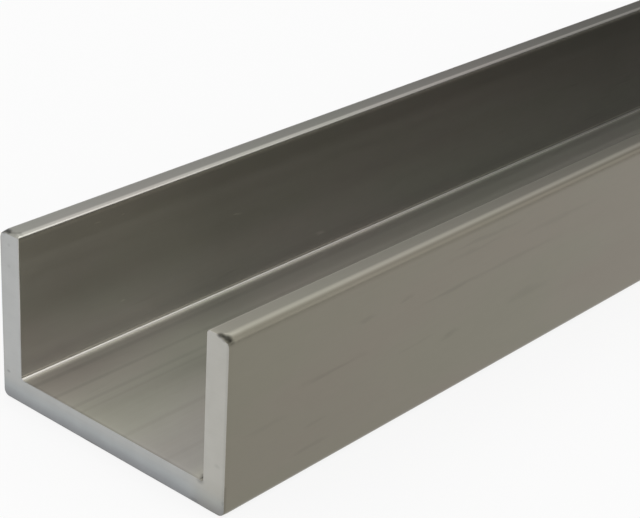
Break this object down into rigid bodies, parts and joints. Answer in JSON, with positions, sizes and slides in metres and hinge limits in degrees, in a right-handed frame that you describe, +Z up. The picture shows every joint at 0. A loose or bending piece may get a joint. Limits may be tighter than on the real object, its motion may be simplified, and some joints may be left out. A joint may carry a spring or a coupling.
{
  "type": "aluminium U channel",
  "caption": "Straight length of extruded U channel: a flat web with an upright leg along each side, sawn square at both ends.",
  "frame": {"origin": "middle of the underside of the web, halfway along the length", "axes": "+X along the length, +Y across the web from leg to leg, +Z up, out of the channel's open side"},
  "size_m": [1, 0.05, 0.03],
  "materials": {
    "mill_aluminium": "mill finish: satin, with fine die lines along the length and brighter sawn ends"
  },
  "bodies": {
    "root": {"channel": "mill_aluminium"}
  },
  "joints": []
}
